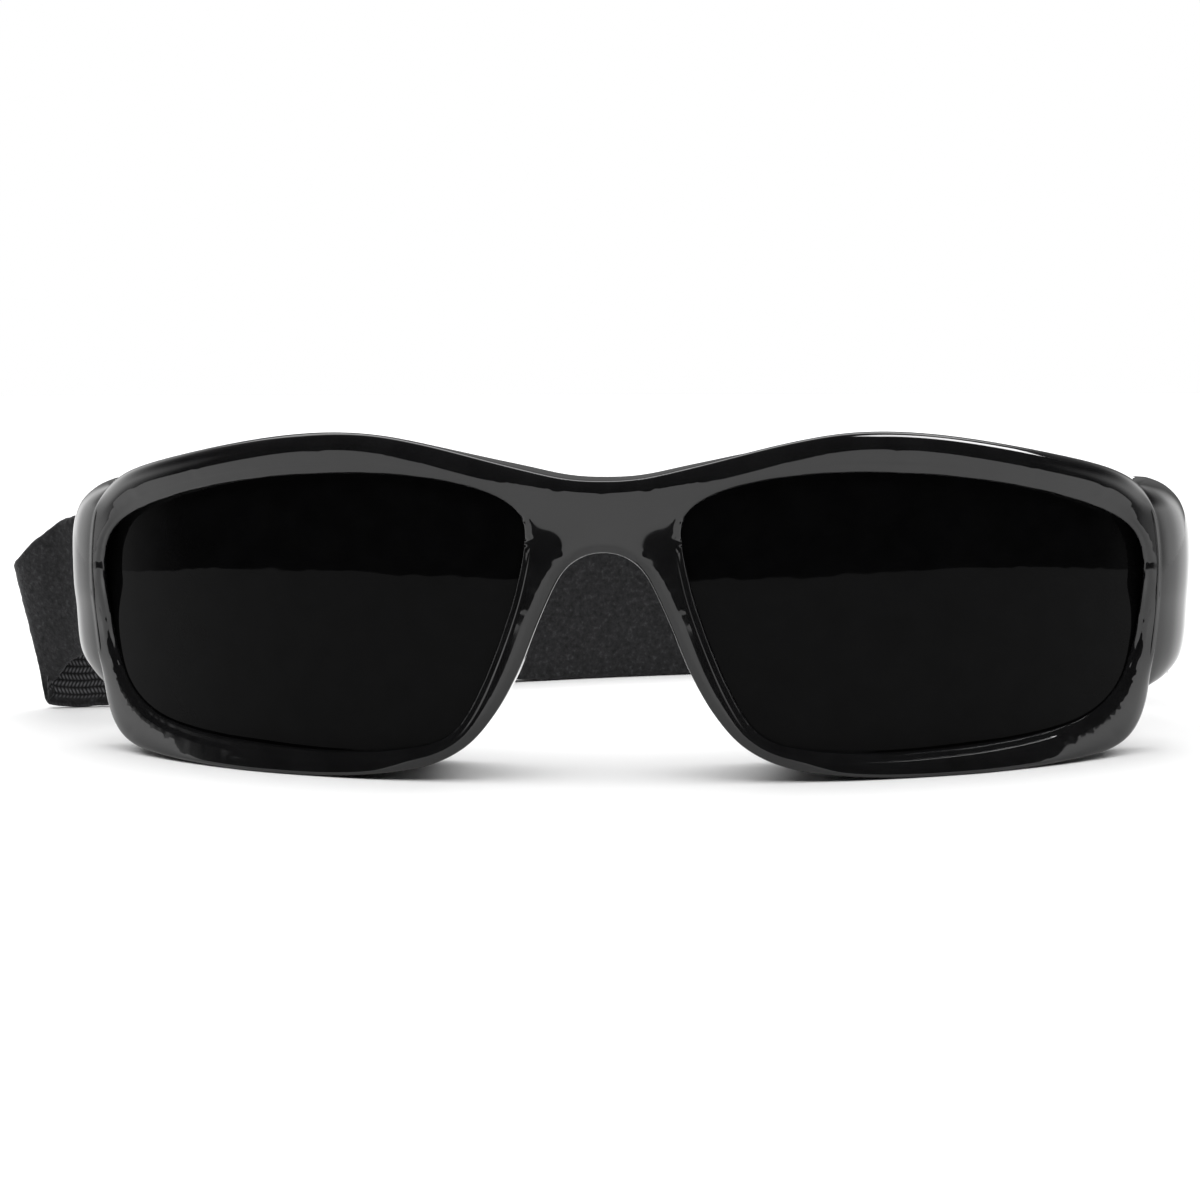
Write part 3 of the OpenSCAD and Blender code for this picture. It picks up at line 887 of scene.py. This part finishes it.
def build_seals(side, curve):
    """A rigid carrier behind the lens and the foam ring on it."""
    edge = curve[::2]
    shell = ring_body(edge, rounded_corners(CARRIER_SECTION, 0.35))
    obj = make_object(f"seal_carrier_{side}", shell.verts, shell.faces, carrier_mat)
    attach(obj, "root")
    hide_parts(f"carrier_{side}")
    section = catmull(FOAM_SECTION, 4, True)
    turn = np.linspace(0, 2 * math.pi, len(edge), endpoint=False)
    wave = sum(rng.uniform(0.3, 1) * np.sin(k * turn + rng.uniform(0, 6.3)) for k in (5, 9, 14, 23))
    swell = [SEAL_SWELL * wave * smooth_step(np.array(89.0 - r), 0, 5) for _, r in section]
    shell = ring_body(edge, [tuple(c) for c in section], swell)
    obj = make_object(f"seal_foam_{side}", shell.verts, shell.faces, foam_mat, sharp=0)
    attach(obj, "root")
    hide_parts(f"foam_{side}")


build_seals("right", opening_right)
build_seals("left", opening_left)

# ---------------------------------------------------------------- strap
STRAP_W = 20.0
STRAP_T = 1.6
STRAP_STEP = 0.7    # spacing of the sections along it
PILE = 0.035        # scatter of the plush face
WANDER = 0.03       # scatter of its two edges
ARM_Z = 20.0
ARM_T = 3.0
LIE = ARM_T / 2 + 0.15 + STRAP_T / 2    # from the arm's middle to the middle of the strap on it
NEAR_X = HINGE[0] + LIE
INNER_X = HINGE[0] - LIE
SLOT_REAR = 56.0
HALF_TURN = np.radians([0, 30, 60, 90, 120, 150, 180])
GLIDE_DIR = math.radians(27)
GLIDE_FROM = (-64.0, 82.0)
GLIDE_LENGTH = 36
GLIDE_Z = 12.5
BAR_AT = 16.5       # the tri-glide's centre bar, from GLIDE_FROM
LAYER_GAP = 0.3
JUNCTION = 5        # the inner layer's two pieces meet at this point of BACK


def on_glide(distance, across=0.0):
    """The point distance along the tri-glide's straight, across towards the outside."""
    c, s = math.cos(GLIDE_DIR), math.sin(GLIDE_DIR)
    return (GLIDE_FROM[0] + distance * c - across * s, GLIDE_FROM[1] + distance * s + across * c)


def at_glide(distance, across=0.0):
    """A point of a route beside the tri-glide, upright and at its height."""
    return (*on_glide(distance, across), GLIDE_Z, 0)


GLIDE_TO = on_glide(GLIDE_LENGTH)
# The strap's route from its left end to its right arm: points of (x, y, z, lean in degrees)
TAIL = [(-78.6, 66.4, 18.6, -9.5), (-77, 65, 19.1, -8), (-74.3, 63.1, 20.1, -5),
        (-71.3, 61.3, ARM_Z, 0), (-INNER_X, 59.2, ARM_Z, 0), (-INNER_X, 57.6, ARM_Z, 0)]
TAB = [(-NEAR_X, 58, ARM_Z, 0), (-NEAR_X - 0.9, 61.2, 20.2, 4), (-79, 64.4, 19, 9),
       (-81.8, 66.6, 17.9, 11.5)]
FOLD = [(-85.4, 68.7, 15.2, 13.5), (-87.9, 71.1, 11.9, 13),
        (-87.0, 72.7, 10.7, 10), (-83.9, 72.9, 10.1, 5), (-79.5, 73.4, 10.1, 1.5),
        (-74, 75.4, 10.5, 0), (*GLIDE_FROM, GLIDE_Z, 0)]
BACK = [(*GLIDE_TO, GLIDE_Z, 0), (-22, 103.4, 10.4, 0), (-10, 108.6, 10.1, 0),
        (3.6, 113.2, 10.08, 0), (14, 116, 10.08, 0), (28, 117.6, 10.08, 0), (44, 115, 10.1, 0),
        (56.5, 106, 10.2, 0), (63.6, 93.5, 11.4, 0), (68, 81.6, 14.6, 0), (72, 71.8, 18.4, 0)]
LOOP = [(73.2, 70.4, 18.8, 0), (75, 64, 20.3, 0), (NEAR_X, 59, ARM_Z, 0)]


def bar_turn(from_x, to_x):
    """The half turn through an arm's slot and round its rear bar."""
    return [((from_x + to_x) / 2 + (from_x - to_x) / 2 * math.cos(a),
             SLOT_REAR - 0.2 - 1.6 * math.sin(a), ARM_Z, 0)
            for a in HALF_TURN]


def route_normals(route):
    """Unit normals in plan on the left of a route."""
    t = np.gradient(route[:, :2], axis=0)
    t /= np.linalg.norm(t, axis=1)[:, None]
    return np.stack([-t[:, 1], t[:, 0]], 1)


def beside(route, distance):
    """A route moved towards the inside of the loop."""
    route = np.asarray(route, float)
    out = route.copy()
    out[:, :2] -= route_normals(route) * distance
    return out


def strap_section():
    """Across (mm), depth (mm) and ribbed share round the elastic's section."""
    half, t = STRAP_W / 2, STRAP_T / 2
    rows = [(w, t, 0.0) for w in np.linspace(-half + 0.5, half - 0.5, 34)]
    rows += [(half - 0.15, t * 0.72, 0.0), (half, t * 0.1, 0.0), (half - 0.12, -t * 0.6, 0.3)]
    rib_from = half - 1.6
    rows += [(half - 0.55, -t * 0.92, 0.0), (rib_from + 0.35, -t * 0.95, 0.0)]
    ribs = int(2 * rib_from / RIB_PITCH)
    for w in np.linspace(rib_from, -rib_from, ribs * 6 + 1):
        crest = abs(math.sin(math.pi * w / RIB_PITCH))
        rows.append((w, -t * 0.78 - 0.2 * crest, 1.0))
    rows += [(-rib_from - 0.35, -t * 0.95, 0.0), (-half + 0.55, -t * 0.92, 0.0),
             (-half + 0.12, -t * 0.6, 0.3), (-half, t * 0.1, 0.0), (-half + 0.15, t * 0.72, 0.0)]
    return np.array(rows)


def strap(name, route, start_mm=0.0):
    """Sweeps the elastic along a route; plush on its left. Returns the piece and its length."""
    path = resample(np.asarray(route, float), STRAP_STEP, False, key=3)
    normals = route_normals(path)
    lean = np.radians(path[:, 3])
    side = np.stack([normals[:, 0] * np.cos(lean), normals[:, 1] * np.cos(lean), -np.sin(lean)], 1)
    up = np.stack([normals[:, 0] * np.sin(lean), normals[:, 1] * np.sin(lean), np.cos(lean)], 1)
    run = start_mm + np.concatenate([[0], np.cumsum(np.linalg.norm(np.diff(path[:, :3], axis=0),
                                                                   axis=1))])
    section = strap_section()
    pile = section[:, 2] < 0.5
    shell = Shell()
    rings, along = [], []
    for k in range(len(path)):
        fuzz = rng.normal(0, PILE, len(section)) * pile
        depth = section[:, 1] + fuzz * np.sign(section[:, 1] + 0.01)
        width = section[:, 0] + rng.normal(0, WANDER) * np.sign(section[:, 0])
        ring = path[k, :3] + depth[:, None] * side[k] + width[:, None] * up[k]
        ring[:, 2] = np.maximum(ring[:, 2], 0.01)
        rings.append(ring)
        along += [run[k]] * len(section)
    shell.loft(rings)
    obj = make_object(name, shell.verts, shell.faces, elastic, sharp=0)
    count = len(path)
    for key, values in (("along_mm", along), ("across_mm", list(section[:, 0]) * count),
                        ("ribbed", list(section[:, 2]) * count)):
        layer = obj.data.attributes.new(key, "FLOAT", "POINT")
        layer.data.foreach_set("value", np.asarray(values, np.float32))
    return obj, float(run[-1] - start_mm)


def dense(points, steps=8):
    """A smooth open route through the points."""
    return catmull(points, steps, False)


def build_left_end():
    """The end sewn round the left arm's bar, and the layer on as far as the tri-glide's bar."""
    route = np.vstack([dense(TAIL), bar_turn(-INNER_X, -NEAR_X), dense(TAB + FOLD + [at_glide(BAR_AT)])])
    obj, length = strap("elastic_left", route)
    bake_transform(obj)
    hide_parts("strap_tab_left")
    return length


def build_right_end(start_mm):
    """The outer layer, the turn round the right arm's bar and the inner layer back."""
    outer = dense([at_glide(BAR_AT)] + BACK + LOOP)
    inner_back = beside(dense(BACK[JUNCTION:]), STRAP_T + LAYER_GAP)[::-1]
    inner = dense([(INNER_X, 58, ARM_Z, 0), (INNER_X - 0.4, 64, 20.3, 0), (69.0, 69.6, 18.9, 0)], 6)
    route = np.vstack([outer, bar_turn(NEAR_X, INNER_X), inner, inner_back])
    obj, length = strap("elastic_right", route, start_mm=start_mm)
    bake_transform(obj)
    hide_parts("strap_main", "strap_loop_right", "strap_return")


def build_adjuster_end():
    """The inner layer that moves with the tri-glide, its end sewn round the centre bar."""
    over = STRAP_T + LAYER_GAP
    inner = -over
    behind = inner - STRAP_T - 0.3 - 1.6
    sewn = inner - STRAP_T - 0.12
    half = (inner - behind) / 2
    bridge = beside(dense([at_glide(26)] + BACK[:JUNCTION + 1]), over)[::-1]
    straight = [at_glide(BAR_AT + 6, inner), at_glide(BAR_AT + 2, inner)]
    turn = [at_glide(BAR_AT - 1.25 - half * math.sin(a), inner - half + half * math.cos(a))
            for a in HALF_TURN]
    tail = dense([at_glide(BAR_AT + 0.6, behind), at_glide(BAR_AT + 3, behind + 0.7),
                  at_glide(BAR_AT + 5, sewn), at_glide(BAR_AT + 9, sewn)], 6)
    route = np.vstack([bridge, straight, turn, tail])
    obj, length = strap("elastic_end", route, start_mm=1000)
    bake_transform(obj)
    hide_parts("strap_end_loop")


left_length = build_left_end()
build_right_end(left_length)
build_adjuster_end()


# ---------------------------------------------------------------- hardware
def bevelled_copy(name, node, body, material, width, segments=3):
    """The CAD node's shape with its edges rounded."""
    bm = bmesh.new()
    bm.from_mesh(frame["nodes"][node].data)
    bmesh.ops.remove_doubles(bm, verts=bm.verts, dist=1e-6)
    bmesh.ops.dissolve_limit(bm, angle_limit=math.radians(1), verts=bm.verts, edges=bm.edges)
    edges = [e for e in bm.edges if len(e.link_faces) == 2 and e.calc_face_angle(0) > math.radians(30)]
    bmesh.ops.bevel(bm, geom=edges, offset=width * MM, segments=segments, profile=0.5,
                    affect="EDGES", clamp_overlap=True)
    mesh = bpy.data.meshes.new(name)
    bm.to_mesh(mesh)
    bm.free()
    mesh.polygons.foreach_set("use_smooth", [True] * len(mesh.polygons))
    mesh.set_sharp_from_angle(angle=math.radians(40))
    mesh.materials.append(material)
    obj = bpy.data.objects.new(name, mesh)
    bpy.context.scene.collection.objects.link(obj)
    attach(obj, body)
    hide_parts(node)


for hand in ("left", "right"):
    bevelled_copy(f"arm_{hand}_moulding", f"strap_arm_{hand}", f"{hand}_arm", gloss, 0.45)
    bevelled_copy(f"screw_{hand}", f"hinge_screw_{hand}", "root", screw_metal, 0.12, 2)
    bevelled_copy(f"insert_{hand}", f"hinge_insert_{hand}", "root", brass, 0.1, 2)
bevelled_copy("tri_glide_moulding", "tri_glide", "glide", glide_mat, 0.4)


THREAD_R = 0.24


def build_stitches(name, node, body):
    """Replaces each box of a stitch row by a length of thread with rounded ends."""
    bm = bmesh.new()
    bm.from_mesh(frame["nodes"][node].data)
    bmesh.ops.remove_doubles(bm, verts=bm.verts, dist=1e-7)
    todo, shell = set(bm.verts), Shell()
    # Taken in the mesh's own order, so that each run makes the same threads
    for first in bm.verts:
        if first not in todo:
            continue
        todo.discard(first)
        group, stack = [], [first]
        while stack:
            v = stack.pop()
            group.append(v.co / MM)
            for e in v.link_edges:
                other = e.other_vert(v)
                if other in todo:
                    todo.discard(other)
                    stack.append(other)
        pts = np.array([tuple(c) for c in group])
        mid = pts.mean(0)
        axes = np.linalg.svd(pts - mid, full_matrices=False)[2]
        length = np.ptp((pts - mid) @ axes[0]) / 2
        rings = []
        for t in np.linspace(-1, 1, 9):
            r = THREAD_R * math.sqrt(max(1 - abs(t) ** 3, 0.02))
            c = mid + axes[0] * length * t
            rings.append([c + r * (math.cos(a) * axes[1] + math.sin(a) * axes[2])
                          for a in np.linspace(0, 2 * math.pi, 10, endpoint=False)])
        shell.loft(rings)
    bm.free()
    obj = make_object(name, shell.verts, shell.faces, thread)
    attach(obj, body)
    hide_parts(node)


build_stitches("tab_thread", "tab_stitch", "left_arm")
build_stitches("end_thread", "end_stitch", "glide")


# ---------------------------------------------------------------- stage and light
FLOOR_REACH = 297.0     # to each side
FLOOR_FRONT = 241.0
FLOOR_BACK = 700.0


def floor():
    """A pale card with a round front; its front edge is the horizon that the gloss reflects."""
    mat, tree, bsdf = shader("floor_card", (0.9,) * 3, 0.9, Specular_IOR_Level=0.0)
    tone = ramp(tree, noise(tree, 6, 2, y=300), [(0.3, (0.89,) * 3), (0.7, (0.91,) * 3)], -450, 300)
    tree.links.new(tone, bsdf.inputs["Base Color"])
    rim = [(FLOOR_REACH * math.sin(a), 5 - FLOOR_FRONT * math.cos(a), 0)
           for a in np.radians(np.linspace(-90, 90, 61))]
    verts = rim + [(FLOOR_REACH, FLOOR_BACK, 0), (-FLOOR_REACH, FLOOR_BACK, 0)]
    obj = make_object("floor", verts, [tuple(range(len(verts)))], mat, flat=True)


def softbox(name, place, look, size, radiance, shown=True):
    """A rectangular light; one that isn't shown lights surfaces but has no reflection."""
    data = bpy.data.lights.new(name, "AREA")
    data.shape = "RECTANGLE"
    data.size, data.size_y = size[0] * MM, size[1] * MM
    data.energy = radiance * math.pi * data.size * data.size_y
    obj = bpy.data.objects.new(name, data)
    obj.location = Vector(place) * MM
    aim = (Vector(look) - Vector(place)).normalized()
    obj.rotation_euler = aim.to_track_quat("-Z", "Y").to_euler()
    obj.visible_glossy = shown
    obj.visible_diffuse = not shown
    bpy.context.scene.collection.objects.link(obj)


def world():
    """White to the camera; for the rest a dark room with pale walls at the sides and behind."""
    sky = bpy.data.worlds.new("studio")
    sky.use_nodes = True
    tree = sky.node_tree
    tree.nodes.clear()
    link = tree.links.new
    out = add_node(tree, "ShaderNodeOutputWorld", 400, 0)
    path = add_node(tree, "ShaderNodeLightPath", -400, 400)
    place = add_node(tree, "ShaderNodeTexCoord", -1300, 0)
    split = add_node(tree, "ShaderNodeSeparateXYZ", -1100, 0)
    link(place.outputs["Generated"], split.inputs[0])
    width = add_node(tree, "ShaderNodeMath", -900, 200, operation="ABSOLUTE")
    link(split.outputs["X"], width.inputs[0])

    def step(source, start, end, low, high, y):
        """Goes smoothly from low to high while the source goes from start to end."""
        node = add_node(tree, "ShaderNodeMapRange", -700, y)
        node.interpolation_type = "SMOOTHSTEP"
        for key, value in (("From Min", start), ("From Max", end), ("To Min", low), ("To Max", high)):
            node.inputs[key].default_value = value
        link(source, node.inputs["Value"])
        return node.outputs["Result"]

    def combine(kind, a, b, x, y):
        node = add_node(tree, "ShaderNodeMath", x, y, operation=kind)
        link(a, node.inputs[0])
        link(b, node.inputs[1])
        return node.outputs[0]

    sides = combine("MULTIPLY", step(width.outputs[0], 0.2, 0.55, 0, 1.6, 200),
                    step(split.outputs["Y"], -0.2, 0.35, 0, 1, 0), -500, 100)
    low = combine("MULTIPLY", sides, step(split.outputs["Z"], 0.2, 0.55, 1, 0, -200), -350, 0)
    behind = step(split.outputs["Y"], 0.3, 0.9, 0.015, 0.16, -400)
    total = combine("ADD", low, behind, -200, -100)
    room = add_node(tree, "ShaderNodeBackground", -50, 0)
    link(total, room.inputs["Color"])
    room.inputs["Strength"].default_value = 1.0
    seen = add_node(tree, "ShaderNodeBackground", -50, 200)
    seen.inputs["Color"].default_value = (1, 1, 1, 1)
    seen.inputs["Strength"].default_value = 1.0
    mix = add_node(tree, "ShaderNodeMixShader", 150, 0)
    link(path.outputs["Is Camera Ray"], mix.inputs[0])
    link(room.outputs[0], mix.inputs[1])
    link(seen.outputs[0], mix.inputs[2])
    link(mix.outputs[0], out.inputs["Surface"])
    bpy.context.scene.world = sky


floor()
world()
softbox("fill", (0, 250, 1000), (0, 250.1, 0), (3000, 3000), 2.1, shown=False)
softbox("strip_brow", (462, 422, 940), (45, 8, 42), (260, 560), 13)
softbox("strip_behind", (-60, 640, 560), (-5, 2, 38), (700, 300), 1.8)
bpy.context.scene.view_settings.view_transform = "Standard"
